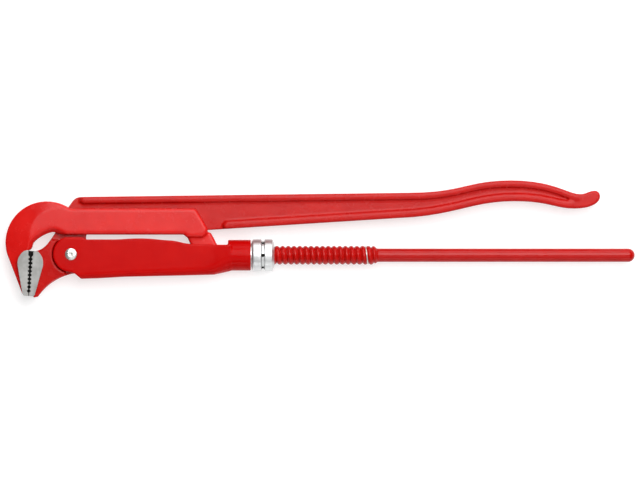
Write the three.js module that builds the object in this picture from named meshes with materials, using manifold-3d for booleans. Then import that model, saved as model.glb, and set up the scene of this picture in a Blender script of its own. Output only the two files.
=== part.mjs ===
// Swedish-pattern pipe wrench with jaws at 90 degrees, for pipes up to 2 inch, in millimetres.
//
// The wrench lies on its side. While it is drawn, the spindle's axis is X, the jaws are at -X and the
// handles at +X, Y points from the lower handle to the upper one, and Z = 0 is the middle plane that the
// tool is symmetrical about. The pivot is at X = 0. At the end the group is moved so that the origin is
// at the middle of the base. The jaws are closed.
import * as THREE from "three";
import { mergeVertices } from "three/addons/utils/BufferGeometryUtils.js";
import Module from "manifold-3d";

const wasm = await Module();
wasm.setup();

// ---- Driving dimensions ----

const gap = 0.3; // between pieces that only touch
const past = 5; // how far a cutter runs past the face it cuts

// The hook leg: hook jaw, slotted shank and neck.
const shankHeight = 23.4;
const shankBottom = 18.3; // above the spindle's axis
const shankEnd = 121.6; // the furthest point of the cheeks
const cheek = 6.7; // each side of the slot
const slotGap = 0.4; // on each side of the handle leg's web
const slotFloorWall = 1.2; // under the slot
const hookRadius = 36.8;
const hookCentre = { x: -21.7, y: 11.2 };
const hookRimThickness = 13; // at the outside of the hook, which slopes off
const ridgeRadius = 25; // where the flat of the hook ends and the slope begins
const forgedEdge = 1.6; // chamfer along a forging's outline
const throatChamfer = 3.5;
const throatRise = 2.3; // of the throat's top over the bottom of the shank

// The jaws. The tooth line starts at toothTop and leans by jawLean.
const toothTop = { x: -35.8, y: 0 };
const jawLean = THREE.MathUtils.degToRad(3.2);
const toothCount = 10;
const toothPitch = 3.53;
const toothDepth = 1.55;
const jawGapTop = 1.1; // between crests at the throat
const jawGapTip = 0.4; // between crests at the tip
const jawTip = -36.8;

// The handle leg: lower jaw, eye, web and flanges.
const web = 8;
const flangeWidth = 13.5;
const topFlange = 6.2;
const bottomFlange = 7;
const flangeGap = 4; // between the shank's top and the upper flange at the neck
const lowerJawThickness = 18;
const lowerJawRim = 12; // thickness at the jaw's tip, to which its faces slope off
const openingAngle = THREE.MathUtils.degToRad(12);
const gripStart = 305; // where the straight handle starts to bend
const handleRise = 3.7; // of the handle's upper edge from the neck to the bend
const webGap = 4.2; // from the bottom of the shank up to the handle's lower edge where it leaves the slot
const webRise = 11.4; // of the handle's lower edge from there to the bend
const tailHeight = 2.4; // of the tip over the handle's upper edge at the bend

// The pivot.
const pivot = { x: 0, y: 1 };
const rivetShank = 4.4; // radius
const rivetLip = 0.9; // how far the head reaches past the shank
const rivetHeadHeight = 1.5;
const eyeGap = 0.3; // between the rivet and its holes
const earRadius = 16.1;
const earSweepGap = 0.6; // between the ears and the lower jaw that turns round them

// The spindle and the lower handle.
const threadRadius = 8.4;
const threadDepth = 1.65;
const threadPitch = 5.08;
const threadStart = 147;
const threadEnd = 272;
const neckEnd = 132;
const rodRadius = 6;
const rodEnd = 501.3;
const wireRadius = 0.6; // the stop ring's
const stopTurn = 51.5; // which groove the stop ring lies in, in pitches from X = 0

// The sleeve.
const channelGap = 0.4; // between the spindle's thread and the channel's sides
const sleeveWall = 3.35;
const channelFloor = -13;
const tubeStart = 139.4;
const tubeLength = 20.3;
const tubeWall = 4.95;
const sidesTop = 14.1; // of the sleeve's sides behind the ears
const earFlat = 16.1; // the height at which each ear is cut off level

// The nut and its retaining ring.
const nutStart = 160.5;
const nutLength = 20.2;
const nutWall = 5.8; // from the thread's crest to the outside
const nutGroove = 1.7; // depth of the groove round the middle
const tommyHoles = 6;
const tommyRadius = 1.3;
const nutThreadGap = 0.45;
const collarDepth = 6; // how far the nut's collar goes into the sleeve's tube
const collarWall = 1.9; // from the thread's crest to the outside of the collar
const ringWidth = 1.4;
const ringDepth = 1.7; // radially

// ---- What follows from them ----

const shankTop = shankBottom + shankHeight;
const slotFloor = shankBottom + slotFloorWall;
const throatTop = shankBottom + throatRise;
const webTopAtNeck = shankTop + flangeGap + topFlange;
const webTopAtGrip = webTopAtNeck + handleRise;
const webBottomAtShank = shankBottom + webGap;
const webBottomAtGrip = webBottomAtShank + webRise;
const rivetHead = rivetShank + rivetLip;
const shankHalf = web / 2 + slotGap + cheek;
const slotHalf = web / 2 + slotGap;
const channelHalf = threadRadius + channelGap;
const sleeveHalf = channelHalf + sleeveWall;
const tubeRadius = channelHalf + tubeWall;
const tubeEnd = tubeStart + tubeLength;
const nutRadius = threadRadius + nutWall;
const nutEnd = nutStart + nutLength;
const collarRadius = threadRadius + nutThreadGap + collarWall;
const collarStart = tubeEnd - collarDepth;
const ringMiddle = tubeEnd - collarDepth / 2;
const ringOuter = collarRadius + gap + ringDepth / 2;
const ringInner = ringOuter - ringDepth;

// ---- Materials ----

const paint = (hex) => new THREE.MeshStandardMaterial({ color: hex, roughness: 0.38, metalness: 0.0 });
const redPaint = paint(0xcf1a14);
const zinc = new THREE.MeshStandardMaterial({ color: 0xe4e6e6, roughness: 0.3, metalness: 0.9 });
const bareSteel = new THREE.MeshStandardMaterial({ color: 0xc9c8c2, roughness: 0.35, metalness: 0.9 });

// ---- Solids ----

// A closed three.js geometry as a solid that can be joined and cut.
function solid(geometry) {
  const bare = new THREE.BufferGeometry();
  bare.setAttribute("position", geometry.getAttribute("position"));
  bare.setIndex(geometry.index);
  const merged = mergeVertices(bare, 1e-4);
  const triVerts = new Uint32Array(merged.index.array);
  return new wasm.Manifold(
    new wasm.Mesh({ numProp: 3, vertProperties: merged.attributes.position.array, triVerts }),
  );
}

const join = (first, ...others) => others.reduce((all, next) => all.add(next), first);
const cut = (first, ...others) => others.reduce((all, next) => all.subtract(next), first);

// The outline as straight stretches, without points that repeat the one before.
function polygon(shape) {
  const points = shape.getPoints(10);
  const apart = (point, i) => point.distanceTo(points.at(i - 1)) > 1e-4;
  return new THREE.Shape(points.filter(apart));
}

// A flat outline between Z = -half and Z = half, with its edges chamfered by bevel.
function plate(shape, half, bevel = 0) {
  const geometry = new THREE.ExtrudeGeometry(polygon(shape), {
    depth: 2 * (half - bevel),
    bevelEnabled: bevel > 0,
    bevelThickness: bevel,
    bevelSize: bevel,
    bevelOffset: -bevel,
    bevelSegments: 1,
  });
  return solid(geometry.translate(0, 0, bevel - half));
}

// A box between two corners.
function block(low, high) {
  const size = high.map((value, i) => value - low[i]);
  const middle = high.map((value, i) => (value + low[i]) / 2);
  return solid(new THREE.BoxGeometry(...size).translate(...middle));
}

// A solid of revolution about the X axis, from a profile of [x, radius] points.
function turnedAboutX(profile, segments) {
  const points = profile.map(([x, radius]) => new THREE.Vector2(radius, x));
  return solid(new THREE.LatheGeometry(points, segments).rotateZ(-Math.PI / 2));
}

// A solid of revolution about an axis along Z, from a profile of [z, radius] points.
function turnedAboutZ(profile, segments, centre) {
  const points = profile.map(([z, radius]) => new THREE.Vector2(radius, z));
  return solid(new THREE.LatheGeometry(points, segments).rotateX(Math.PI / 2).translate(centre.x, centre.y, 0));
}

// A round bar along Z.
const pin = (centre, radius, half, segments = 32) =>
  turnedAboutZ([[-half, 0], [-half, radius], [half, radius], [half, 0]], segments, centre);

// The solid through rings of points. Each ring runs from +Y towards +Z, and the rings go towards +X.
function loft(rings) {
  const count = rings[0].length;
  const positions = rings.flat(2);
  const index = [];
  for (let ring = 0; ring + 1 < rings.length; ring++) {
    for (let i = 0; i < count; i++) {
      const here = ring * count + i;
      const beside = ring * count + ((i + 1) % count);
      index.push(here, beside, beside + count, here, beside + count, here + count);
    }
  }
  const middles = rings.length * count;
  const lastRing = middles - count;
  for (const ring of [rings[0], rings.at(-1)]) {
    positions.push(...[0, 1, 2].map((axis) => ring.reduce((sum, p) => sum + p[axis], 0) / count));
  }
  for (let i = 0; i < count; i++) {
    const next = (i + 1) % count;
    index.push(middles, next, i, middles + 1, lastRing + i, lastRing + next);
  }
  const geometry = new THREE.BufferGeometry();
  geometry.setAttribute("position", new THREE.Float32BufferAttribute(positions, 3));
  geometry.setIndex(index);
  return solid(geometry);
}

// A ring of points round the X axis, whose radius follows the angle.
function roundRing(x, radiusAt, segments = 16) {
  return Array.from({ length: segments }, (_, i) => {
    const angle = (2 * Math.PI * i) / segments;
    const radius = radiusAt(angle);
    return [x, radius * Math.cos(angle), radius * Math.sin(angle)];
  });
}

function node(name, made, material) {
  const { vertProperties, triVerts } = made.getMesh();
  const geometry = new THREE.BufferGeometry();
  geometry.setAttribute("position", new THREE.BufferAttribute(vertProperties, 3));
  geometry.setIndex(new THREE.BufferAttribute(triVerts, 1));
  geometry.computeVertexNormals();
  const mesh = new THREE.Mesh(geometry, material);
  mesh.name = name;
  return mesh;
}

// ---- The tooth line ----

// A point a distance along the tooth line and a distance towards the hook.
function byToothLine(along, aside) {
  const x = toothTop.x - along * Math.sin(jawLean) - aside * Math.cos(jawLean);
  const y = toothTop.y - along * Math.cos(jawLean) + aside * Math.sin(jawLean);
  return [x, y];
}

// Everything on the other jaw's side of one jaw's teeth. side is 1 for the hook, -1 for the lower jaw.
function toothCutter(side) {
  const length = toothCount * toothPitch;
  const crest = (along) => side * THREE.MathUtils.lerp(jawGapTop, jawGapTip, along / length) / 2;
  const shape = new THREE.Shape();
  shape.moveTo(...byToothLine(-past, -side * 4 * past));
  shape.lineTo(...byToothLine(-past, side * (jawGapTop / 2 + toothDepth)));
  for (let tooth = 0; tooth < toothCount; tooth++) {
    const valley = tooth * toothPitch;
    shape.lineTo(...byToothLine(valley, crest(valley) + side * toothDepth));
    shape.lineTo(...byToothLine(valley + toothPitch / 2, crest(valley + toothPitch / 2)));
  }
  shape.lineTo(...byToothLine(length + 2 * past, crest(length)));
  shape.lineTo(...byToothLine(length + 2 * past, -side * 4 * past));
  return plate(shape, shankHalf + past);
}

// The ground pads that carry the teeth stand proud of the jaws. Their outer edge bulges below the top.
function padOutline(side) {
  const edge = (along, aside) => byToothLine(along, side * aside);
  const shape = new THREE.Shape();
  shape.moveTo(...edge(-4.4, -past));
  shape.lineTo(...edge(-4.4, side > 0 ? 3.6 : 4.6));
  shape.bezierCurveTo(...edge(-3.8, 7.4), ...edge(1.2, 11.3), ...edge(6.6, 11.5));
  shape.quadraticCurveTo(...edge(9.5, 11.5), ...edge(12, 10.7));
  shape.lineTo(...edge(34.6, 5.6));
  shape.lineTo(...edge(36.4, 4.4));
  shape.lineTo(...edge(36.4, -past));
  return shape;
}

// ---- The hook leg ----

// The edge of the handle leg's neck that faces the hook, from the throat to the top.
const neckEdge = [
  { x: -18.7, y: shankBottom - 4.9 },
  { x: -14.8, y: shankBottom + 0.7 },
  { x: -10.2, y: shankTop - 10.7 },
  { x: -4.6, y: shankTop - 1.7 },
  { x: -2, y: shankTop + 1.8 },
  { x: -0.2, y: webTopAtNeck - 5.8 },
  { x: 1.8, y: webTopAtNeck - 3.1 },
];

function turnedOpen(point) {
  const dx = point.x - pivot.x;
  const dy = point.y - pivot.y;
  const sin = Math.sin(openingAngle);
  const cos = Math.cos(openingAngle);
  return { x: pivot.x + dx * cos - dy * sin, y: pivot.y + dx * sin + dy * cos };
}

function hookOutline() {
  const startAngle = Math.asin((shankTop - hookCentre.y) / hookRadius);
  const shape = new THREE.Shape();
  const lip = shankBottom - 2.4; // the cheeks reach lower at their ends
  shape.moveTo(100.3, shankBottom);
  shape.lineTo(102.5, lip);
  shape.lineTo(shankEnd - 4.6, lip);
  shape.lineTo(shankEnd - 0.6, shankBottom + 0.9);
  shape.lineTo(shankEnd, shankBottom + 5.6);
  shape.lineTo(shankEnd - 9.6, shankTop - 2);
  shape.quadraticCurveTo(shankEnd - 10.6, shankTop, shankEnd - 13.2, shankTop);
  shape.lineTo(hookCentre.x + hookRadius * Math.cos(startAngle), shankTop);
  shape.absarc(hookCentre.x, hookCentre.y, hookRadius, startAngle, THREE.MathUtils.degToRad(195));
  shape.lineTo(-43.9, -33.4);
  shape.quadraticCurveTo(-43, -35.9, -40.5, jawTip + 0.5);
  shape.lineTo(-36, jawTip - 0.2);
  shape.lineTo(-33.2, 2);
  shape.lineTo(-36.6, 4.5);
  shape.bezierCurveTo(-33.6, 6.5, -34.6, 10.4, -33, 11.5);
  shape.bezierCurveTo(-28.5, 16.6, -19.5, throatTop, -16, throatTop);
  shape.bezierCurveTo(-13, throatTop, -11, shankBottom, -8, shankBottom);
  return shape;
}

// A disc of half thickness full as far as the radius flat, which slopes off to rim at the radius edge.
function dished(full, flat, rim, edge, centre) {
  const reach = 80; // past the outside of either jaw
  const side = [
    [rim, reach],
    [rim, edge],
    [full, flat],
    [full, 0],
  ];
  const mirrored = side.map(([z, radius]) => [-z, radius]).reverse();
  return turnedAboutZ([...mirrored, ...side], 48, centre);
}

// What the slope round the hook leaves: a flat inside the ridge, thinner outside it, and the whole shank.
function hookSlope() {
  const centre = { x: -12, y: shankTop - ridgeRadius };
  const rim = hookRimThickness / 2;
  const edge = 2 * ridgeRadius;
  const slope = dished(shankHalf, ridgeRadius, rim, edge, centre);
  const shank = block([centre.x, 0, -shankHalf], [shankEnd + past, shankTop, shankHalf]);
  return slope.add(shank);
}

// The throat between the jaws, whose edge on the hook is chamfered. top is 1 or -1.
function throatChamferCutter(top) {
  const shape = new THREE.Shape();
  shape.moveTo(-36.6, 3);
  shape.bezierCurveTo(-33.6, 6.5, -34.6, 10.4, -33, 11.5);
  shape.bezierCurveTo(-28.5, 16.6, -19.5, throatTop, -16, throatTop);
  shape.bezierCurveTo(-13, throatTop, -11, shankBottom, -4, shankBottom - 2);
  shape.lineTo(-16, 6);
  shape.lineTo(-30, -2);
  const geometry = new THREE.ExtrudeGeometry(shape, {
    depth: past,
    curveSegments: 6,
    bevelEnabled: true,
    bevelThickness: throatChamfer,
    bevelSize: throatChamfer,
    bevelSegments: 1,
  });
  return solid(geometry.translate(0, 0, top > 0 ? shankHalf : -shankHalf - past));
}

function slotCutter() {
  const shape = new THREE.Shape();
  const wall = neckEdge.map(turnedOpen);
  const under = wall[0].y - 2;
  shape.moveTo(wall[0].x - 1.5, under);
  for (const point of wall) shape.lineTo(point.x - 1.5, point.y);
  shape.lineTo(wall.at(-1).x - 1.5, shankTop + 3 * past);
  shape.lineTo(shankEnd + past, shankTop + 3 * past);
  shape.lineTo(shankEnd + past, slotFloor);
  shape.lineTo(99, slotFloor);
  shape.lineTo(98, under);
  return plate(shape, slotHalf);
}

// The neck is narrower than the shank, so that it runs in the sleeve's channel.
function neckBlock() {
  const half = channelHalf - 2 * gap;
  const height = threadRadius - threadDepth + 0.2;
  const shape = new THREE.Shape();
  shape.moveTo(shankEnd - 20.1, slotFloor + 0.8);
  shape.lineTo(shankEnd - 16, 10.6);
  shape.lineTo(shankEnd - 8.1, 4 - height);
  shape.quadraticCurveTo(shankEnd - 5.6, -height, shankEnd - 1.6, -height);
  shape.lineTo(neckEnd, -height);
  shape.lineTo(neckEnd, height);
  shape.quadraticCurveTo(neckEnd - 2, 8.4, neckEnd - 3.6, 12);
  shape.quadraticCurveTo(neckEnd - 6, 17, shankEnd + 2.2, slotFloor + 0.8);
  return plate(shape, half, 1.2);
}

function hookLeg() {
  const flat = plate(hookOutline(), shankHalf, forgedEdge).intersect(hookSlope());
  const pad = plate(padOutline(1), shankHalf).intersect(plate(hookOutline(), shankHalf));
  const body = join(flat, neckBlock());
  const opened = cut(body, slotCutter(), throatChamferCutter(1), throatChamferCutter(-1));
  return cut(join(opened, pad), toothCutter(1));
}

// ---- The spindle ----

// The radius of the thread's surface at a place and angle, as a smooth right-hand helix.
function threadAt(x, angle, extra = 0) {
  const middle = threadRadius - threadDepth / 2;
  return middle + (threadDepth / 2) * Math.cos((2 * Math.PI * x) / threadPitch - angle) + extra;
}

function spindle() {
  const runOut = 2 * threadPitch;
  const core = threadRadius - threadDepth / 2;
  const rings = [roundRing(neckEnd + gap, () => core)];
  for (let x = threadStart; x <= threadEnd; x += threadPitch / 4) {
    const start = Math.min(1, (x - threadStart) / threadPitch);
    const end = Math.min(1, (threadEnd - x) / runOut);
    const surface = (angle) => {
      const cutIn = THREE.MathUtils.lerp(core, threadAt(x, angle), start);
      return THREE.MathUtils.lerp(rodRadius, cutIn, Math.sqrt(end));
    };
    rings.push(roundRing(x, surface));
  }
  rings.push(roundRing(threadEnd + 2, () => rodRadius));
  for (const turn of [0, 0.4, 0.8, 1.15, 1.4]) {
    rings.push(roundRing(rodEnd - rodRadius * (1 - Math.sin(turn)), () => rodRadius * Math.cos(turn)));
  }
  return loft(rings);
}

// A split ring of wire that lies in a groove of the thread, nearly one turn long.
function stopRing() {
  const radius = threadRadius - threadDepth + gap + wireRadius;
  const turn = THREE.MathUtils.degToRad(335);
  const start = THREE.MathUtils.degToRad(-110);
  class Groove extends THREE.Curve {
    getPoint(t, target = new THREE.Vector3()) {
      const angle = start + t * turn;
      const x = threadPitch * (stopTurn + angle / (2 * Math.PI));
      return target.set(x, radius * Math.cos(angle), radius * Math.sin(angle));
    }
  }
  const sides = Array.from({ length: 8 }, (_, i) => (2 * Math.PI * i) / 8);
  const section = sides.map((a) => new THREE.Vector2(wireRadius * Math.cos(a), wireRadius * Math.sin(a)));
  const options = { steps: 28, extrudePath: new Groove(), bevelEnabled: false };
  return solid(new THREE.ExtrudeGeometry(new THREE.Shape(section), options));
}

// ---- The handle leg ----

// The handle's upper and lower edges, lowered or raised to give the flanges' inner edges. They start at
// fromX and run to the tail, where the handle curls up into a rounded tip.
function traceTop(shape, fromX, down = 0) {
  const slope = (webTopAtGrip - webTopAtNeck) / (gripStart - 8);
  const g = gripStart;
  const y = webTopAtGrip - down;
  shape.lineTo(fromX, webTopAtNeck + slope * (fromX - 8) - down);
  shape.lineTo(g - 5, y);
  shape.bezierCurveTo(g + 43, y, g + 47, y + 11, g + 86, y + 11);
  shape.bezierCurveTo(g + 124, y + 11, g + 137, y - 1.2, g + 147.3, y - 1.2);
}

function traceBottom(shape, toX, up = 0) {
  const slope = (webBottomAtGrip - webBottomAtShank) / (gripStart - 124);
  const g = gripStart;
  const y = webBottomAtGrip + up;
  shape.lineTo(g + 142, y + 7.6);
  shape.bezierCurveTo(g + 125, y + 7.6, g + 120, y + 14.1, g + 89, y + 14.1);
  shape.bezierCurveTo(g + 55, y + 14.1, g + 40, y + 3.6, g, y);
  shape.lineTo(toX, webBottomAtShank + slope * (toX - 124) + up);
}

// The tail past the flanges, turned up and rounded at its tip.
function traceTip(shape) {
  const g = gripStart;
  const top = webTopAtGrip + tailHeight - 0.6;
  const low = webBottomAtGrip + 7.6;
  shape.bezierCurveTo(g + 153, top - 3.3, g + 155, top, g + 160.6, top);
  shape.bezierCurveTo(g + 166, top, g + 167.4, low + 8.6, g + 162, low + 4.8);
  shape.bezierCurveTo(g + 157, low + 0.8, g + 149, low, g + 142, low);
}

function tailOutline() {
  const shape = new THREE.Shape();
  shape.moveTo(gripStart + 147.3, webTopAtGrip - 1.2);
  traceTip(shape);
  shape.lineTo(gripStart + 133, webBottomAtGrip + 9);
  shape.lineTo(gripStart + 139, webTopAtGrip - 1.6);
  return shape;
}

function topFlangeOutline() {
  const shape = new THREE.Shape();
  const start = 7.5;
  shape.moveTo(start, webTopAtNeck - topFlange + 2);
  traceTop(shape, start + 1.5);
  const back = new THREE.Shape();
  back.moveTo(start + 3, webTopAtNeck - topFlange);
  traceTop(back, start + 4, topFlange);
  for (const point of back.getPoints(10).reverse()) shape.lineTo(point.x, point.y);
  return shape;
}

function bottomFlangeOutline() {
  const shape = new THREE.Shape();
  const start = 135;
  const inner = new THREE.Shape();
  inner.moveTo(gripStart + 142, webBottomAtGrip + 7.6 + bottomFlange);
  traceBottom(inner, start + 3, bottomFlange);
  shape.moveTo(gripStart + 142, webBottomAtGrip + 7.6);
  traceBottom(shape, start + 1.5);
  shape.lineTo(start, webBottomAtShank + 3);
  shape.lineTo(start, webBottomAtShank + bottomFlange - 1.6);
  for (const point of inner.getPoints(10).reverse()) shape.lineTo(point.x, point.y);
  return shape;
}

// The lower jaw's outline from the throat round the tip to the eye, up to where it meets the ears.
function traceLowerJaw(shape, stopX, stopY) {
  shape.quadraticCurveTo(-24.5, 4, -33.5, 3.6);
  shape.lineTo(-40, 0);
  shape.lineTo(-41.5, jawTip);
  shape.lineTo(-36.5, jawTip);
  shape.lineTo(-33, jawTip - 0.9);
  shape.lineTo(-29.7, jawTip - 0.2);
  shape.quadraticCurveTo(-18.2, -21, stopX, stopY);
}

// The middle of the leg: jaw, eye, neck, web and handle in one outline.
function legOutline() {
  const shape = new THREE.Shape();
  shape.moveTo(neckEdge[0].x, neckEdge[0].y);
  traceLowerJaw(shape, 0.7, -16.5);
  shape.absarc(pivot.x, pivot.y, 17.5, THREE.MathUtils.degToRad(272), THREE.MathUtils.degToRad(318));
  shape.lineTo(13.2, 3);
  shape.lineTo(13.2, slotFloor - 3.1);
  shape.quadraticCurveTo(13.4, slotFloor + 1.1, 19, slotFloor + 1.3);
  shape.lineTo(100, slotFloor + 2.1);
  const lower = new THREE.Shape();
  lower.moveTo(gripStart + 142, webBottomAtGrip + 7.6);
  traceBottom(lower, 124);
  for (const point of lower.getPoints(10).reverse()) shape.lineTo(point.x, point.y);
  const upper = new THREE.Shape();
  upper.moveTo(4.4, webTopAtNeck - 1);
  traceTop(upper, 8);
  traceTip(upper);
  for (const point of upper.getPoints(10).reverse()) shape.lineTo(point.x, point.y);
  for (const point of neckEdge.slice(1).reverse()) shape.lineTo(point.x, point.y);
  return shape;
}

// What the slope of the lower jaw's faces leaves: full thickness at the ears, thinner towards the tip.
function jawSlope() {
  const tipRadius = 55; // of the jaw's tip about the pivot
  return dished(lowerJawThickness / 2, earRadius, lowerJawRim / 2, tipRadius, pivot);
}

// The wide part of the lower jaw, which ends in an arc round the sleeve's ears.
function jawOutline() {
  const radius = earRadius + earSweepGap;
  const topAngle = Math.PI - Math.asin((neckEdge[0].y - pivot.y) / radius);
  const bottomAngle = THREE.MathUtils.degToRad(252);
  const shape = new THREE.Shape();
  shape.moveTo(neckEdge[0].x, neckEdge[0].y);
  traceLowerJaw(shape, -5.6, -18.4);
  shape.absarc(pivot.x, pivot.y, radius, bottomAngle, topAngle, true);
  return shape;
}

function handleLeg() {
  const eye = pin(pivot, rivetShank + eyeGap, web);
  const tail = plate(tailOutline(), flangeWidth / 2 - 0.6, 1.2);
  const leg = join(
    plate(legOutline(), web / 2),
    plate(topFlangeOutline(), flangeWidth / 2, 1.2),
    plate(bottomFlangeOutline(), flangeWidth / 2, 1.2),
    tail,
    plate(jawOutline(), lowerJawThickness / 2, 0.8).intersect(jawSlope()),
  );
  const pad = plate(padOutline(-1), shankHalf).intersect(plate(jawOutline(), shankHalf));
  return cut(join(leg, pad), eye, toothCutter(-1));
}

// ---- The sleeve ----

// A ring with flat sides and round lower corners. corner is the radius of the lower corners, and
// upperCorner that of the upper ones.
function sleeveRing(x, half, top, bottom, corner, upperCorner) {
  const steps = 5;
  const points = [];
  const corners = [
    [1, 1, upperCorner],
    [-1, 1, corner],
    [-1, -1, corner],
    [1, -1, upperCorner],
  ];
  for (const [up, front, radius] of corners) {
    for (let i = 0; i <= steps; i++) {
      const turn = (Math.PI / 2) * (i / steps);
      const [a, b] = up * front > 0 ? [Math.cos(turn), Math.sin(turn)] : [Math.sin(turn), Math.cos(turn)];
      const y = (up > 0 ? top : bottom) + up * radius * (a - 1);
      points.push([x, y, front * (half - radius + radius * b)]);
    }
  }
  return points;
}

function sleeveOutline() {
  const shape = new THREE.Shape();
  const bottomOfEar = pivot.y - earRadius;
  shape.moveTo(0, bottomOfEar);
  shape.lineTo(3.4, -16.4);
  shape.lineTo(9.6, -21.7);
  shape.lineTo(14, -21.2);
  shape.lineTo(47, -19.2);
  shape.lineTo(106, -17.9);
  shape.lineTo(127, -17.4);
  shape.bezierCurveTo(134, -17, tubeStart, -tubeRadius - 1, tubeStart + 3, -tubeRadius);
  shape.lineTo(tubeStart + 3, 9.4);
  shape.lineTo(130, 9.4);
  shape.lineTo(106, 10.1);
  shape.bezierCurveTo(98, 10.6, 96, 13, 85, 13.4);
  shape.bezierCurveTo(75, 14, 73, 15, 60, 15);
  shape.bezierCurveTo(50, 15, 46, sidesTop, 38, sidesTop);
  shape.lineTo(13.2, sidesTop);
  shape.lineTo(9.6, earFlat);
  const start = Math.asin((earFlat - pivot.y) / earRadius);
  shape.absarc(pivot.x, pivot.y, earRadius, Math.PI - start, 1.5 * Math.PI);
  return shape;
}

function sleeve() {
  const high = 30;
  const rings = [
    sleeveRing(-earRadius - past, sleeveHalf, high, -21.9, 3, 0.6),
    sleeveRing(25, sleeveHalf, high, -20.6, 5, 0.6),
    sleeveRing(118, sleeveHalf, high, -17.7, 6.5, 0.6),
    sleeveRing(127, sleeveHalf + 0.4, high, -17.4, 9, 0.6),
    sleeveRing(tubeStart, tubeRadius, high, -tubeRadius - 1, tubeRadius - 0.2, 0.6),
    sleeveRing(tubeStart + 2 * past, tubeRadius, high, -tubeRadius, tubeRadius - 0.2, 0.6),
  ];
  const walls = loft(rings).intersect(plate(sleeveOutline(), tubeRadius + past));
  const tube = turnedAboutX(
    [[130, 0], [tubeStart, tubeRadius], [tubeEnd, tubeRadius], [tubeEnd, 0]],
    40,
  );
  const tubeTop = block([tubeStart, -tubeRadius, -tubeRadius], [tubeEnd, tubeRadius, tubeRadius]);
  const outside = join(walls, tube.intersect(tubeTop));
  const eyeSpace = block([-2 * earRadius, -40, -slotHalf], [28, 40, slotHalf]);
  const earsApart = eyeSpace.intersect(
    join(pin(pivot, 18.2, sleeveHalf), block([-40, channelFloor, -slotHalf], [28, 40, slotHalf])),
  );
  const channel = block([25, channelFloor, -channelHalf], [tubeStart - 3.4, 40, channelHalf]);
  const bore = turnedAboutX(
    [[tubeStart - past, 0], [tubeStart - past, channelHalf], [tubeEnd + past, channelHalf], [tubeEnd + past, 0]],
    32,
  );
  const socketRadius = collarRadius + gap;
  const socket = turnedAboutX(
    [[collarStart - gap, 0], [collarStart - gap, socketRadius], [tubeEnd + past, socketRadius], [tubeEnd + past, 0]],
    32,
  );
  const grooveHalf = ringWidth / 2 + gap;
  const ringGroove = turnedAboutX(
    [
      [ringMiddle - grooveHalf, 0],
      [ringMiddle - grooveHalf, ringOuter + gap],
      [ringMiddle + grooveHalf, ringOuter + gap],
      [ringMiddle + grooveHalf, 0],
    ],
    32,
  );
  const rivetHole = pin(pivot, rivetShank + eyeGap, sleeveHalf + past);
  return cut(outside, earsApart, channel, bore, socket, ringGroove, rivetHole);
}

// ---- Rivet, nut and ring ----

function rivet() {
  const seat = sleeveHalf + gap;
  const top = seat + rivetHeadHeight;
  const side = [
    [seat, rivetShank],
    [seat, rivetHead],
    [seat + 0.5, rivetHead],
    [top, 0.7 * rivetHead],
    [top, 0.3 * rivetHead],
    [top - 0.6, 0.2 * rivetHead],
    [top - 0.6, 0],
  ];
  const mirrored = side.map(([z, radius]) => [-z, radius]).reverse();
  return turnedAboutZ([...mirrored, ...side], 24, pivot);
}

function nut() {
  const middle = (nutStart + nutEnd) / 2;
  const half = 1.9; // half the groove's width
  const grooveHalf = ringWidth / 2 + gap;
  const body = turnedAboutX(
    [
      [collarStart, 0],
      [collarStart, collarRadius],
      [ringMiddle - grooveHalf, collarRadius],
      [ringMiddle - grooveHalf, ringInner - gap],
      [ringMiddle + grooveHalf, ringInner - gap],
      [ringMiddle + grooveHalf, collarRadius],
      [nutStart, collarRadius],
      [nutStart, nutRadius - 3],
      [nutStart + 1, nutRadius],
      [middle - half, nutRadius],
      [middle - 0.4, nutRadius - nutGroove],
      [middle + 0.4, nutRadius - nutGroove],
      [middle + half, nutRadius],
      [nutEnd - 2, nutRadius],
      [nutEnd, nutRadius - 4.4],
      [nutEnd, 0],
    ],
    36,
  );
  const tap = [];
  for (let x = collarStart - 1; x < nutEnd + threadPitch / 2; x += threadPitch / 4) {
    tap.push(roundRing(x, (angle) => threadAt(x, angle, nutThreadGap)));
  }
  const holes = [];
  for (let i = 0; i < tommyHoles; i++) {
    const hole = new THREE.CylinderGeometry(tommyRadius, tommyRadius, 5, 10);
    hole.translate(middle, nutRadius + 0.4, 0).rotateX((2 * Math.PI * (i + 0.5)) / tommyHoles);
    holes.push(solid(hole));
  }
  return cut(body, loft(tap), ...holes);
}

function retainingRing() {
  const half = ringWidth / 2;
  const profile = [
    [ringMiddle - half, ringInner],
    [ringMiddle - half, ringOuter],
    [ringMiddle + half, ringOuter],
    [ringMiddle + half, ringInner],
    [ringMiddle - half, ringInner],
  ];
  const middle = (ringInner + ringOuter) / 2;
  const closed = turnedAboutX(profile, 24);
  const split = block([ringMiddle - past, middle - past, -1], [ringMiddle + past, middle + past, 1]);
  return cut(closed, split);
}

// ---- The wrench ----

const wrench = new THREE.Group();
wrench.add(
  node("hook_leg", hookLeg(), redPaint),
  node("threaded_spindle", spindle(), redPaint),
  node("thread_stop_ring", stopRing(), bareSteel),
  node("handle_leg", handleLeg(), redPaint),
  node("sleeve", sleeve(), redPaint),
  node("pivot_rivet", rivet(), bareSteel),
  node("adjusting_nut", nut(), zinc),
  node("nut_retaining_ring", retainingRing(), bareSteel),
);

const part = new THREE.Group();
part.add(wrench);
const bounds = new THREE.Box3().setFromObject(part);
const middle = bounds.getCenter(new THREE.Vector3());
wrench.position.set(-middle.x, -middle.y, -bounds.min.z);

export default part;
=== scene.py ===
"""Swedish-pattern pipe wrench lying on its side: forged legs, sleeve, spindle, nut and rivet."""

import math

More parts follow.
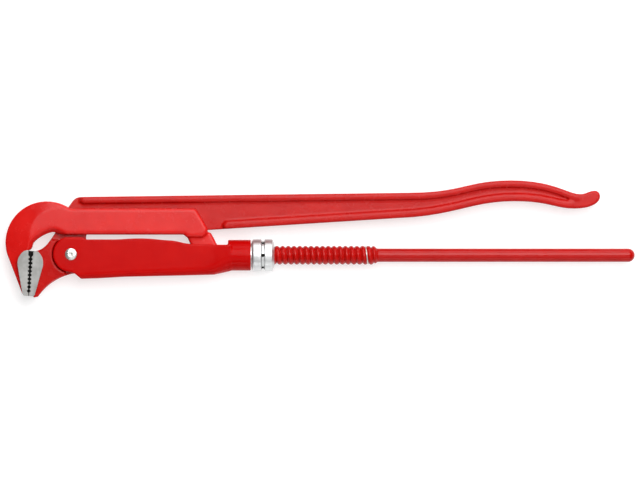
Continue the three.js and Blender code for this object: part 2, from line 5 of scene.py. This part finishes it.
import bmesh
import bpy
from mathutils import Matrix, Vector


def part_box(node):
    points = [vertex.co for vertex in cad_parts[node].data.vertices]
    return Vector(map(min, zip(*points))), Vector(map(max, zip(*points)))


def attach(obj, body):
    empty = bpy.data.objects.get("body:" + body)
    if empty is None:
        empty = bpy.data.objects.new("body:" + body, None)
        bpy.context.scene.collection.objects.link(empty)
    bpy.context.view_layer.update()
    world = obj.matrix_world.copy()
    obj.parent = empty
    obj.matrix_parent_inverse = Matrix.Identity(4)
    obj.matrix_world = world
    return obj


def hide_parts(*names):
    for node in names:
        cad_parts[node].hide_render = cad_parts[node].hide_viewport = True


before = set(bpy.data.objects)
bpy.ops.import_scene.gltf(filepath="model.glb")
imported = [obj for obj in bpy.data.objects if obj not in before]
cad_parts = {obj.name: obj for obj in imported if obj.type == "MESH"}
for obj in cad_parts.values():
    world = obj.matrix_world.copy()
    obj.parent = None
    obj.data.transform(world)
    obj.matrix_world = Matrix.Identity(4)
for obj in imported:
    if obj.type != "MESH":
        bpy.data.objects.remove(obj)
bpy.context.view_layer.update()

# ---- Sizes, in millimetres: X from the pivot, Y from the spindle's axis, Z from mid-thickness ----

MM = 0.001
PIVOT = (0.0, 1.0)
# Half the height of a tool that cuts right through, how far a tool reaches past the jaws, and the
# radius that ends a turned solid at its axis.
CUT_HALF = 20.0
CUT_REACH = 85.0
NEAR_AXIS = 0.02
# Vertices closer than this, in metres, are joined.
JOIN_WITHIN = 1e-6

SHANK_HALF = 11.1
HOOK_RIM = 6.5
HOOK_FLAT_RADIUS = 25.0
HOOK_RIM_RADIUS = 50.0
HOOK_SLOPE_CENTRE = (-12.0, 16.7)
JAW_HALF = 9.0
JAW_RIM = 6.0
JAW_RIM_RADIUS = 55.0
EAR_RADIUS = 16.1
# How far the painted face under a pad lies below the CAD's face.
PAINT_FALL = 0.05

# The tooth line leans from its top, and distances along it are measured downwards.
TOOTH_TOP = (-35.8, 0.0)
TOOTH_LEAN = math.radians(3.2)
TOOTH_REACH = 2.6
TOOTH_ROW = (-3.8, 35.3)
JAW_GAP_TOP = 1.1
JAW_GAP_TIP = 0.4
WEB_HALF = 7.0
WEB_GAP = 0.25

PAD_TOP = -4.4
PAD_TIP = 36.4
PAD_INNER = -5.0
PAD_WIDTH = 11.5
PAD_CORNER = {1: 3.6, -1: 4.6}
PAD_GAP = 0.25
PAD_TRIM = 0.08
PAD_EDGE = 0.22

THREAD_RADIUS = 8.4
THREAD_DEPTH = 1.65
THREAD_PITCH = 5.08
THREAD_START = 147.0
THREAD_END = 272.0
SPINDLE_START = 132.3
ROD_START = THREAD_END + 2
ROD_RADIUS = 6.0
ROD_END = 501.3
WIRE_RADIUS = 0.6
WIRE_LIFT = 0.3
STOP_TURN = 51.5

NUT_START = 160.5
NUT_END = 180.7
NUT_MIDDLE = (NUT_START + NUT_END) / 2
NUT_RADIUS = 14.2
NUT_GROOVE = 1.7
NUT_CLEARANCE = 0.4
HOLES = 6
HOLE_RADIUS = 1.6
HOLE_BOTTOM = 9.6
COLLAR_START = 153.7
COLLAR_RADIUS = 10.75
RING_MIDDLE = 156.7
RING_HALF = 0.7
RING_OUTER = 11.9
RING_INNER = 10.2
RING_ROOM = 0.3

RIVET_SHANK = 4.4
RIVET_HEAD = 5.3
RIVET_SEAT = 12.45
RIVET_TOP = 13.95
RIVET_MARK = 1.9


def design_origin():
    """The design's own origin in the frame, found from the rivet, which is round about the pivot."""
    low, high = (Vector(corner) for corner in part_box("pivot_rivet"))
    return (low + high) / 2 - Vector((PIVOT[0], PIVOT[1], 0)) * MM


ORIGIN = design_origin()


def at(x, y, z):
    """A design point in the frame, in metres."""
    return ORIGIN + Vector((x, y, z)) * MM


# ---- Meshes ----


def new_object(name, mesh):
    obj = bpy.data.objects.new(name, mesh)
    bpy.context.scene.collection.objects.link(obj)
    return obj


def mesh_object(name, points, faces):
    """A closed mesh from design points, with its faces turned outwards."""
    mesh = bpy.data.meshes.new(name)
    mesh.from_pydata([at(*p) for p in points], [], faces)
    work = bmesh.new()
    work.from_mesh(mesh)
    bmesh.ops.recalc_face_normals(work, faces=work.faces)
    work.to_mesh(mesh)
    work.free()
    mesh.update()
    return new_object(name, mesh)


def node_copy(name, node):
    """A CAD node's solid as a new object, with its vertices joined."""
    work = bmesh.new()
    work.from_mesh(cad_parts[node].data)
    bmesh.ops.remove_doubles(work, verts=work.verts, dist=JOIN_WITHIN)
    mesh = bpy.data.meshes.new(name)
    work.to_mesh(mesh)
    work.free()
    return new_object(name, mesh)


def apply_modifiers(obj):
    depsgraph = bpy.context.evaluated_depsgraph_get()
    mesh = bpy.data.meshes.new_from_object(obj.evaluated_get(depsgraph))
    obj.modifiers.clear()
    obj.data = mesh


def combine(obj, tool, operation):
    """Adds tool to obj, takes it away, or keeps only what they share, and then removes tool."""
    modifier = obj.modifiers.new("combine", "BOOLEAN")
    modifier.operation = operation
    modifier.solver = "EXACT"
    modifier.object = tool
    apply_modifiers(obj)
    bpy.data.objects.remove(tool)


def prism(name, outline, low, high):
    """A solid with the same (x, y) outline at every height from low to high."""
    count = len(outline)
    points = [(x, y, z) for z in (low, high) for x, y in outline]
    faces = [list(range(count)), list(range(count, 2 * count))]
    for i in range(count):
        j = (i + 1) % count
        faces.append((i, j, count + j, count + i))
    return mesh_object(name, points, faces)


def tube_grid(name, rings, closed_along=False):
    """A mesh through rings of points. Open ends are closed with one face each."""
    count = len(rings[0])
    points = [p for ring in rings for p in ring]
    faces = []
    steps = len(rings) if closed_along else len(rings) - 1
    for r in range(steps):
        here = r * count
        there = ((r + 1) % len(rings)) * count
        for i in range(count):
            j = (i + 1) % count
            faces.append((here + i, here + j, there + j, there + i))
    if not closed_along:
        faces.append(list(range(count)))
        faces.append(list(range((len(rings) - 1) * count, len(rings) * count)))
    return mesh_object(name, points, faces)


def ring_about_x(x, radius_at, count):
    """A ring round the spindle's axis, from +Y towards +Z, whose radius follows the angle."""
    ring = []
    for i in range(count):
        angle = 2 * math.pi * i / count
        radius = radius_at(angle)
        ring.append((x, radius * math.cos(angle), radius * math.sin(angle)))
    return ring


def plain_ring(x, radius, count):
    return ring_about_x(x, lambda angle: radius, count)


def turned_about_z(name, profile, count, centre):
    """A solid of revolution about an axis along Z, from (z, radius) points."""
    rings = []
    for z, radius in profile:
        ring = []
        for i in range(count):
            angle = 2 * math.pi * i / count
            x = centre[0] + radius * math.cos(angle)
            y = centre[1] + radius * math.sin(angle)
            ring.append((x, y, z))
        rings.append(ring)
    return tube_grid(name, rings)


def smooth_shade(obj, sharp_degrees=None):
    """Smooth faces, apart from edges sharper than an angle where one is given."""
    for polygon in obj.data.polygons:
        polygon.use_smooth = True
    if sharp_degrees is not None:
        obj.data.set_sharp_from_angle(angle=math.radians(sharp_degrees))


def forge(obj, voxel, rounds):
    """Rounds every edge of a solid, as a forging's dies do. voxel is in millimetres."""
    remesh = obj.modifiers.new("remesh", "REMESH")
    remesh.mode = "VOXEL"
    remesh.voxel_size = voxel * MM
    remesh.adaptivity = 0
    soften = obj.modifiers.new("soften", "SMOOTH")
    soften.factor = 0.5
    soften.iterations = rounds
    apply_modifiers(obj)
    smooth_shade(obj)


def crisp(obj, edge):
    """Merges flat faces and breaks the sharp edges of a machined solid."""
    work = bmesh.new()
    work.from_mesh(obj.data)
    bmesh.ops.remove_doubles(work, verts=work.verts, dist=JOIN_WITHIN)
    bmesh.ops.dissolve_limit(work, angle_limit=math.radians(1), verts=work.verts, edges=work.edges)
    work.to_mesh(obj.data)
    work.free()
    bevel = obj.modifiers.new("edges", "BEVEL")
    bevel.width = edge * MM
    bevel.segments = 2
    bevel.limit_method = "ANGLE"
    bevel.angle_limit = math.radians(25)
    apply_modifiers(obj)


# ---- The tooth line and its pads ----


def by_tooth_line(along, aside):
    """The design point so far down the tooth line, and so far from it towards the hook."""
    x = TOOTH_TOP[0] - along * math.sin(TOOTH_LEAN) - aside * math.cos(TOOTH_LEAN)
    y = TOOTH_TOP[1] - along * math.cos(TOOTH_LEAN) + aside * math.sin(TOOTH_LEAN)
    return (x, y)


def bezier(points, steps):
    """Points after the first on a Bezier curve of any order."""
    out = []
    for step in range(1, steps + 1):
        t = step / steps
        row = [Vector(p) for p in points]
        while len(row) > 1:
            row = [a.lerp(b, t) for a, b in zip(row, row[1:])]
        out.append(tuple(row[0]))
    return out


def beside_teeth(side, points):
    """Design points from (along, aside) ones on one jaw. side is 1 for the hook and -1 for the lower jaw."""
    return [by_tooth_line(along, side * aside) for along, aside in points]


def pad_outline(side, grow):
    """The raised pad beside the tooth line, larger by grow."""
    top = PAD_TOP - grow
    tip = PAD_TIP + grow
    wide = PAD_WIDTH + grow
    corner = (top, PAD_CORNER[side])
    edge = [(top, PAD_INNER), corner]
    edge += bezier([corner, (-3.8 - grow, 7.4 + grow), (1.2, 11.3 + grow), (6.6, wide)], 20)
    edge += bezier([(6.6, wide), (9.5, wide), (12, 10.7 + grow)], 8)
    edge += [(34.6, 5.6 + grow), (tip, 4.4 + grow), (tip, PAD_INNER)]
    return beside_teeth(side, edge)


def tooth_web(side):
    """The core at mid-thickness where the teeth's valleys are filled, so that no light comes through; it is
    painted black as shade.
    """
    top, tip = TOOTH_ROW
    outline = [(tip, TOOTH_REACH), (top, TOOTH_REACH)]
    for along, jaw_gap in ((top, JAW_GAP_TOP), (tip, JAW_GAP_TIP)):
        outline.append((along, WEB_GAP - jaw_gap / 2 if side > 0 else jaw_gap / 2))
    return prism("tool", beside_teeth(side, outline), -WEB_HALF, WEB_HALF)


def split_pad(body, pad, side, under):
    """Takes the pad out of a jaw's solid. under is what the painted forging keeps below the pad."""
    combine(pad, prism("tool", pad_outline(side, -PAD_TRIM), -CUT_HALF, CUT_HALF), "INTERSECT")
    crisp(pad, PAD_EDGE)
    combine(pad, tooth_web(side), "UNION")
    smooth_shade(pad, 12)
    above = prism("tool", pad_outline(side, PAD_GAP), -CUT_HALF, CUT_HALF)
    combine(above, under, "DIFFERENCE")
    combine(body, above, "DIFFERENCE")
    # Beside the teeth the pad goes right through the jaw, so the forging keeps nothing there.
    strip = [(-3.5, -6), (-3.5, 4.2), (42, 4.2), (42, -6)]
    combine(body, prism("tool", beside_teeth(side, strip), -CUT_HALF, CUT_HALF), "DIFFERENCE")


def between_slopes(half, flat_radius, rim, rim_radius, centre):
    """The solid between two faces that are flat in the middle and fall to a thinner rim."""
    half -= PAINT_FALL
    rim -= PAINT_FALL
    upper = [(rim, CUT_REACH), (rim, rim_radius), (half, flat_radius), (half, NEAR_AXIS)]
    return turned_about_z("tool", [(-z, radius) for z, radius in reversed(upper)] + upper, 96, centre)


# ---- The spindle ----


def thread_radius(x, angle, extra=0.0):
    """The thread's surface: round crests and narrow valleys on a right-hand helix."""
    phase = 2 * math.pi * x / THREAD_PITCH - angle
    return THREAD_RADIUS - THREAD_DEPTH * (1 - abs(math.cos(phase / 2)) ** 0.85) + extra


def spindle():
    """The threaded bar, whose thread starts in its core and runs out on the round lower handle."""
    count = 72
    core = THREAD_RADIUS - THREAD_DEPTH / 2
    rings = [plain_ring(SPINDLE_START, core, count)]
    step = THREAD_PITCH / 20
    for n in range(int((THREAD_END - THREAD_START) / step) + 1):
        x = THREAD_START + n * step
        start = min(1.0, (x - THREAD_START) / THREAD_PITCH)
        end = math.sqrt(max(0.0, min(1.0, (THREAD_END - x) / (0.7 * THREAD_PITCH))))

        def surface(angle):
            cut_in = core + (thread_radius(x, angle) - core) * start
            return ROD_RADIUS + (cut_in - ROD_RADIUS) * end

        rings.append(ring_about_x(x, surface, count))
    dome_start = ROD_END - ROD_RADIUS
    lengths = 40
    for n in range(lengths):
        rings.append(plain_ring(ROD_START + (dome_start - ROD_START) * n / lengths, ROD_RADIUS, count))
    dome_steps = 15
    for n in range(dome_steps + 1):
        turn = math.radians(88) * n / dome_steps
        rings.append(plain_ring(dome_start + ROD_RADIUS * math.sin(turn), ROD_RADIUS * math.cos(turn), count))
    obj = tube_grid("spindle_and_lower_handle", rings)
    smooth_shade(obj, 60)
    return obj


def stop_wire():
    """A turn of round wire in the thread's valley, a little short of closing, with its ends rounded off."""
    radius = THREAD_RADIUS - THREAD_DEPTH + WIRE_LIFT + WIRE_RADIUS
    steps = 120
    sides = 14
    rings = []
    for n in range(steps + 1):
        angle = math.radians(-110 + 335 * n / steps)
        x = THREAD_PITCH * (STOP_TURN + angle / (2 * math.pi))
        wire = WIRE_RADIUS * (1.0 if 0 < n < steps else 0.7)
        ring = []
        for i in range(sides):
            turn = 2 * math.pi * i / sides
            r = radius + wire * math.cos(turn)
            ring.append((x + wire * math.sin(turn), r * math.cos(angle), r * math.sin(angle)))
        rings.append(ring)
    obj = tube_grid("stop_wire", rings)
    smooth_shade(obj, 50)
    return obj


# ---- The nut, the ring and the rivet ----


def tommy_hole(angle):
    """A round drill with a coned end that enters the nut's groove from outside."""
    sides = 28
    out = Vector((0, math.cos(angle), math.sin(angle)))
    around = Vector((0, -math.sin(angle), math.cos(angle)))
    drill = (
        (HOLE_BOTTOM, HOLE_RADIUS - 0.5),
        (HOLE_BOTTOM + 0.6, HOLE_RADIUS),
        (NUT_RADIUS + 2, HOLE_RADIUS),
    )
    rings = []
    for from_axis, radius in drill:
        ring = []
        for i in range(sides):
            turn = 2 * math.pi * i / sides
            point = Vector((NUT_MIDDLE, 0, 0)) + out * from_axis
            point += Vector((1, 0, 0)) * radius * math.cos(turn) + around * radius * math.sin(turn)
            ring.append(tuple(point))
        rings.append(ring)
    return tube_grid("tool", rings)


def adjusting_nut():
    """The nut and its collar, turned outside, threaded inside and drilled in its groove."""
    count = 120
    ring_groove = RING_HALF + RING_ROOM
    outside = [
        (COLLAR_START, COLLAR_RADIUS - 0.4),
        (COLLAR_START + 0.4, COLLAR_RADIUS),
        (RING_MIDDLE - ring_groove, COLLAR_RADIUS),
        (RING_MIDDLE - ring_groove, RING_INNER - RING_ROOM),
        (RING_MIDDLE + ring_groove, RING_INNER - RING_ROOM),
        (RING_MIDDLE + ring_groove, COLLAR_RADIUS),
        (NUT_START, COLLAR_RADIUS),
        (NUT_START, NUT_RADIUS - 2.6),
        (NUT_START + 0.25, NUT_RADIUS - 1.5),
        (NUT_START + 0.8, NUT_RADIUS - 0.5),
        (NUT_START + 1.5, NUT_RADIUS - 0.08),
        (NUT_START + 2.0, NUT_RADIUS),
        (NUT_MIDDLE - 2.0, NUT_RADIUS),
        (NUT_MIDDLE - 1.75, NUT_RADIUS - 0.12),
        (NUT_MIDDLE - 0.7, NUT_RADIUS - NUT_GROOVE),
        (NUT_MIDDLE + 0.7, NUT_RADIUS - NUT_GROOVE),
        (NUT_MIDDLE + 1.75, NUT_RADIUS - 0.12),
        (NUT_MIDDLE + 2.0, NUT_RADIUS),
        (NUT_END - 2.3, NUT_RADIUS),
        (NUT_END - 1.9, NUT_RADIUS - 0.2),
        (NUT_END - 0.3, NUT_RADIUS - 3.6),
        (NUT_END, NUT_RADIUS - 4.2),
    ]
    rings = [plain_ring(x, radius, count) for x, radius in outside]
    steps = 60
    for n in range(steps + 1):
        x = NUT_END + (COLLAR_START - NUT_END) * n / steps
        rings.append(ring_about_x(x, lambda angle: thread_radius(x, angle, NUT_CLEARANCE), count))
    obj = tube_grid("adjusting_nut_turned", rings, closed_along=True)
    for n in range(HOLES):
        combine(obj, tommy_hole(2 * math.pi * (n + 0.5) / HOLES), "DIFFERENCE")
    smooth_shade(obj, 25)
    return obj


def retaining_ring():
    """A square spring ring with a narrow gap."""
    steps = 64
    half_gap = 0.1
    half = RING_HALF
    section = [(-half, RING_INNER), (-half, RING_OUTER), (half, RING_OUTER), (half, RING_INNER)]
    rings = []
    for n in range(steps + 1):
        angle = half_gap + 2 * (math.pi - half_gap) * n / steps
        rings.append([(RING_MIDDLE + dx, r * math.cos(angle), r * math.sin(angle)) for dx, r in section])
    obj = tube_grid("nut_snap_ring", rings)
    smooth_shade(obj, 40)
    return obj


def rivet():
    """A pin with a domed head each side and a punch mark in the middle of each head."""
    under = RIVET_SEAT - 0.28
    edge = RIVET_SEAT + 0.35
    side = [(under, RIVET_SHANK), (under, RIVET_HEAD - 0.12), (RIVET_SEAT, RIVET_HEAD)]
    steps = 10
    for n in range(steps + 1):
        turn = math.pi / 2 * n / steps
        z = edge + (RIVET_TOP - edge) * math.sin(turn) * 0.98
        side.append((z, RIVET_MARK + (RIVET_HEAD - RIVET_MARK) * math.cos(turn)))
    for depth, radius in ((0.1, RIVET_MARK - 0.1), (0.9, 1.3), (1.3, 0.7), (1.4, NEAR_AXIS)):
        side.append((RIVET_TOP - depth, radius))
    profile = [(-z, radius) for z, radius in reversed(side)] + side
    obj = turned_about_z("pivot_rivet_head", profile, 72, PIVOT)
    smooth_shade(obj, 40)
    return obj


# ---- Materials ----

# Nearly all of a noise lies between these two values.
NOISE_LOW = 0.3
NOISE_HIGH = 0.7


class Surface:
    """A Principled material whose texture comes from noise laid in the object's own space."""

    def __init__(self, name, **constants):
        self.material = bpy.data.materials.new(name)
        self.material.use_nodes = True
        self.nodes = self.material.node_tree.nodes
        self.links = self.material.node_tree.links
        self.shader = self.nodes["Principled BSDF"]
        for socket, value in constants.items():
            self.shader.inputs[socket.replace("_", " ")].default_value = value
        self.coordinates = self.nodes.new("ShaderNodeTexCoord")
        self.relief = None

    def noise(self, scale, detail=3.0, roughness=0.55, stretch=(1, 1, 1), turn=0.0):
        mapping = self.nodes.new("ShaderNodeMapping")
        mapping.inputs["Scale"].default_value = stretch
        mapping.inputs["Rotation"].default_value = (0, 0, turn)
        texture = self.nodes.new("ShaderNodeTexNoise")
        texture.inputs["Scale"].default_value = scale
        texture.inputs["Detail"].default_value = detail
        texture.inputs["Roughness"].default_value = roughness
        self.links.new(self.coordinates.outputs["Object"], mapping.inputs["Vector"])
        self.links.new(mapping.outputs["Vector"], texture.inputs["Vector"])
        return texture.outputs["Fac"]

    def colour(self, noise, low, high):
        """Blends the base colour from low to high as the noise rises."""
        node = self.nodes.new("ShaderNodeValToRGB")
        for element, position, tint in zip(node.color_ramp.elements, (NOISE_LOW, NOISE_HIGH), (low, high)):
            element.position = position
            element.color = (*tint, 1)
        self.links.new(noise, node.inputs["Fac"])
        self.links.new(node.outputs["Color"], self.shader.inputs["Base Color"])

    def roughness(self, noise, low, high):
        node = self.nodes.new("ShaderNodeMapRange")
        node.inputs["From Min"].default_value = NOISE_LOW
        node.inputs["From Max"].default_value = NOISE_HIGH
        node.inputs["To Min"].default_value = low
        node.inputs["To Max"].default_value = high
        self.links.new(noise, node.inputs["Value"])
        self.links.new(node.outputs["Result"], self.shader.inputs["Roughness"])

    def bump(self, noise, distance, strength):
        """Adds a layer of relief, in millimetres, over what is there already."""
        node = self.nodes.new("ShaderNodeBump")
        node.inputs["Strength"].default_value = strength
        node.inputs["Distance"].default_value = distance * MM
        self.links.new(noise, node.inputs["Height"])
        if self.relief is not None:
            self.links.new(self.relief, node.inputs["Normal"])
        self.relief = node.outputs["Normal"]
        self.links.new(self.relief, self.shader.inputs["Normal"])


def enamel(name, light, deep, rough, relief, gloss):
    """Red enamel. relief is how far the forging's skin shows through it, in millimetres."""
    surface = Surface(name, Specular_IOR_Level=gloss)
    surface.colour(surface.noise(55, 4), deep, light)
    surface.roughness(surface.noise(140, 3), *rough)
    surface.bump(surface.noise(28, 3, 0.5, (0.6, 1.4, 1)), relief * 3.0, 0.6)
    surface.bump(surface.noise(240, 4, 0.6), relief, 0.6)
    surface.bump(surface.noise(900, 2, 0.5), relief * 0.25, 0.5)
    return surface.material


def shade_black_steel(name):
    """Nearly black steel, used as painted shade in the tooth gaps and the tommy holes."""
    surface = Surface(name, Metallic=0.2, Specular_IOR_Level=0.1)
    surface.colour(surface.noise(200, 3), (0.008, 0.007, 0.007), (0.016, 0.015, 0.014))
    surface.roughness(surface.noise(300, 2), 0.7, 0.85)
    surface.bump(surface.noise(500, 3), 0.06, 0.5)
    return surface.material


def ground_steel(name):
    """Steel with fine grinding marks that run along the pads."""
    surface = Surface(name, Metallic=0.85)
    surface.colour(surface.noise(160, 4), (0.29, 0.285, 0.275), (0.37, 0.365, 0.355))
    surface.roughness(surface.noise(220, 3, 0.5, (1, 0.25, 1)), 0.5, 0.7)
    surface.bump(surface.noise(900, 3, 0.6, (1, 0.08, 1), 0.2), 0.05, 0.6)
    surface.bump(surface.noise(120, 3, 0.6), 0.12, 0.5)
    return surface.material


def zinc_plate(name):
    """Bright zinc with faint turning marks."""
    surface = Surface(name, Metallic=0.85)
    surface.colour(surface.noise(90, 3), (0.60, 0.61, 0.61), (0.69, 0.70, 0.70))
    surface.roughness(surface.noise(300, 3), 0.32, 0.44)
    surface.bump(surface.noise(1200, 2, 0.5, (1, 0.15, 0.15)), 0.02, 0.5)
    return surface.material


def bright_steel(name):
    """Plain bright steel, for the rivet, the wire and the spring ring."""
    surface = Surface(name, Metallic=0.9)
    surface.colour(surface.noise(300, 3), (0.62, 0.62, 0.59), (0.76, 0.76, 0.73))
    surface.roughness(surface.noise(400, 2), 0.22, 0.38)
    surface.bump(surface.noise(700, 3), 0.03, 0.5)
    return surface.material


# The four enamels are one red paint. The hook's copy is made lighter as painted light, and the handle's,
# sleeve's and spindle's copies are made darker as painted shade.
HOOK_PAINT_PAINTED_LIGHT = enamel(
    "enamel_painted_light_on_hook", light=(0.60, 0.010, 0.008), deep=(0.52, 0.005, 0.004),
    rough=(0.20, 0.30), relief=0.06, gloss=0.22,
)
HANDLE_PAINT_PAINTED_SHADE = enamel(
    "enamel_painted_shade_on_handle", light=(0.46, 0.007, 0.005), deep=(0.40, 0.004, 0.003),
    rough=(0.20, 0.30), relief=0.06, gloss=0.16,
)
SLEEVE_PAINT_PAINTED_SHADE = enamel(
    "enamel_painted_shade_on_sleeve", light=(0.47, 0.003, 0.002), deep=(0.42, 0.001, 0.001),
    rough=(0.18, 0.26), relief=0.02, gloss=0.055,
)
SPINDLE_PAINT_PAINTED_SHADE = enamel(
    "enamel_painted_shade_on_spindle", light=(0.42, 0.004, 0.003), deep=(0.37, 0.002, 0.001),
    rough=(0.16, 0.22), relief=0.006, gloss=0.2,
)
PAD_STEEL = ground_steel("ground_steel")
# Nearly black steel used as painted shade in the tooth gaps and the tommy holes.
SHADE_BLACK_STEEL = shade_black_steel("shade_black_steel")
ZINC = zinc_plate("zinc_plate")
RIVET_STEEL = bright_steel("bright_steel")


def place(obj, material, slot, body, *nodes):
    """Gives a finished piece its material and its body, and hides the CAD nodes that it replaces. slot is not
    used.
    """
    obj.data.materials.clear()
    obj.data.materials.append(material)
    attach(obj, body)
    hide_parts(*nodes)


def paint_shade_on_teeth(pad):
    """Makes the web and the upright faces along the tooth line black, as painted shade in the gaps between
    the teeth.
    """
    pad.data.materials.append(SHADE_BLACK_STEEL)
    for polygon in pad.data.polygons:
        offset = (polygon.center - at(*TOOTH_TOP, 0)) / MM
        aside = offset.y * math.sin(TOOTH_LEAN) - offset.x * math.cos(TOOTH_LEAN)
        upright = abs(polygon.normal.z) < 0.5
        on_web = abs(offset.z) < WEB_HALF + 1
        if abs(aside) < TOOTH_REACH and (upright or on_web):
            polygon.material_index = 1


def paint_shade_in_holes(nut):
    """Gives the tommy holes' walls and floors a nearly black steel, as painted shade in the holes."""
    nut.data.materials.append(SHADE_BLACK_STEEL)
    for polygon in nut.data.polygons:
        centre = (polygon.center - ORIGIN) / MM
        from_axis = math.hypot(centre.y, centre.z)
        below_groove = HOLE_BOTTOM - 0.6 < from_axis < NUT_RADIUS - NUT_GROOVE - 0.05
        if below_groove and abs(centre.x - NUT_MIDDLE) < HOLE_RADIUS + 0.1:
            polygon.material_index = 1


# ---- The pieces ----


def forged_leg(node, body, names, side, under, voxel, rounds, paint):
    """A leg's painted forging and its bare pad of teeth, both taken from the node's solid."""
    leg, pad = [node_copy(name, node) for name in names]
    split_pad(leg, pad, side, under)
    forge(leg, voxel, rounds)
    place(leg, paint, "red_paint", body, node)
    place(pad, PAD_STEEL, "bare_steel", body, node)
    # The gaps between the teeth are painted black as shade.
    paint_shade_on_teeth(pad)


forged_leg(
    "hook_leg", "hook_body", names=("hook_forging", "hook_teeth"), side=1,
    under=between_slopes(SHANK_HALF, HOOK_FLAT_RADIUS, HOOK_RIM, HOOK_RIM_RADIUS, HOOK_SLOPE_CENTRE),
    voxel=0.75, rounds=8, paint=HOOK_PAINT_PAINTED_LIGHT,
)
forged_leg(
    "handle_leg", "handle_body", names=("handle_forging", "lower_jaw_teeth"), side=-1,
    under=between_slopes(JAW_HALF, EAR_RADIUS, JAW_RIM, JAW_RIM_RADIUS, PIVOT),
    voxel=0.7, rounds=4, paint=HANDLE_PAINT_PAINTED_SHADE,
)

sleeve = node_copy("sleeve_forging", "sleeve")
forge(sleeve, 0.6, 5)
place(sleeve, SLEEVE_PAINT_PAINTED_SHADE, "red_paint", "sleeve_body", "sleeve")

place(spindle(), SPINDLE_PAINT_PAINTED_SHADE, "red_paint", "hook_body", "threaded_spindle")
place(stop_wire(), RIVET_STEEL, "bare_steel", "hook_body", "thread_stop_ring")
nut = adjusting_nut()
place(nut, ZINC, "zinc_plate", "nut_body", "adjusting_nut")
# The tommy holes are painted black as shade.
paint_shade_in_holes(nut)
place(retaining_ring(), RIVET_STEEL, "bare_steel", "sleeve_body", "nut_retaining_ring")
place(rivet(), RIVET_STEEL, "bare_steel", "sleeve_body", "pivot_rivet")

# ---- Floor, light and camera, in metres and watts ----

FLOOR_HALF = 3
CAMERA_PLACE = (-0.0001, -0.0009, 9.0)
LENS = 568.1

# Name, place, the point that it faces, width and height, power.
SOFTBOXES = (
    ("softbox_above", (0.55, 0.97, 2.1), (0.55, 0.97, 0), (2.2, 1.9), 73),
    ("softbox_back", (0.3, 2.4, 1.3), (0.1, 0, 0), (2.4, 1.3), 34),
    ("softbox_below", (0.55, -1.1, 2.1), (0.55, -1.1, 0), (2.2, 1.4), 12),
    ("softbox_front", (0.3, -2.4, 1.2), (0.1, 0, 0), (2.4, 0.8), 14),
)


def floor():
    """A pale floor that glows a little, so that the tool's shadow on it stays faint."""
    mesh = bpy.data.meshes.new("floor")
    far = FLOOR_HALF
    mesh.from_pydata([(-far, -far, 0), (far, -far, 0), (far, far, 0), (-far, far, 0)], [], [(0, 1, 2, 3)])
    glow = {"Emission_Color": (1, 1, 1, 1), "Emission_Strength": 0.6}
    surface = Surface("floor_white", Roughness=0.9, Specular_IOR_Level=0.0, **glow)
    surface.colour(surface.noise(4, 2), (0.50, 0.50, 0.50), (0.52, 0.52, 0.52))
    mesh.materials.append(surface.material)
    return new_object("floor", mesh)


def softbox(name, position, aim, size, power):
    """A rectangular area light, turned to face a point."""
    data = bpy.data.lights.new(name, "AREA")
    data.shape = "RECTANGLE"
    data.size, data.size_y = size
    data.energy = power
    obj = bpy.data.objects.new(name, data)
    obj.location = position
    obj.rotation_euler = (Vector(aim) - Vector(position)).to_track_quat("-Z", "Y").to_euler()
    bpy.context.scene.collection.objects.link(obj)


def camera():
    """Straight above, and far away with a long lens, as the photo shows almost no perspective."""
    data = bpy.data.cameras.new("camera")
    data.lens = LENS
    data.sensor_width = 36
    obj = bpy.data.objects.new("camera", data)
    obj.location = CAMERA_PLACE
    bpy.context.scene.collection.objects.link(obj)
    bpy.context.scene.camera = obj


def studio_walls():
    """Pale low down, where only a low camera sees it, and nearly dark overhead."""
    world = bpy.data.worlds.new("studio")
    world.use_nodes = True
    nodes = world.node_tree.nodes
    links = world.node_tree.links
    coordinates = nodes.new("ShaderNodeTexCoord")
    split = nodes.new("ShaderNodeSeparateXYZ")
    ramp = nodes.new("ShaderNodeValToRGB")
    low, high = ramp.color_ramp.elements
    low.position, low.color = 0.12, (0.7, 0.7, 0.7, 1)
    high.position, high.color = 0.3, (0.05, 0.05, 0.05, 1)
    links.new(coordinates.outputs["Generated"], split.inputs["Vector"])
    links.new(split.outputs["Z"], ramp.inputs["Fac"])
    links.new(ramp.outputs["Color"], nodes["Background"].inputs["Color"])
    bpy.context.scene.world = world


floor()
for settings in SOFTBOXES:
    softbox(*settings)
studio_walls()
camera()
bpy.context.scene.view_settings.view_transform = "Standard"
bpy.context.scene.view_settings.look = "None"
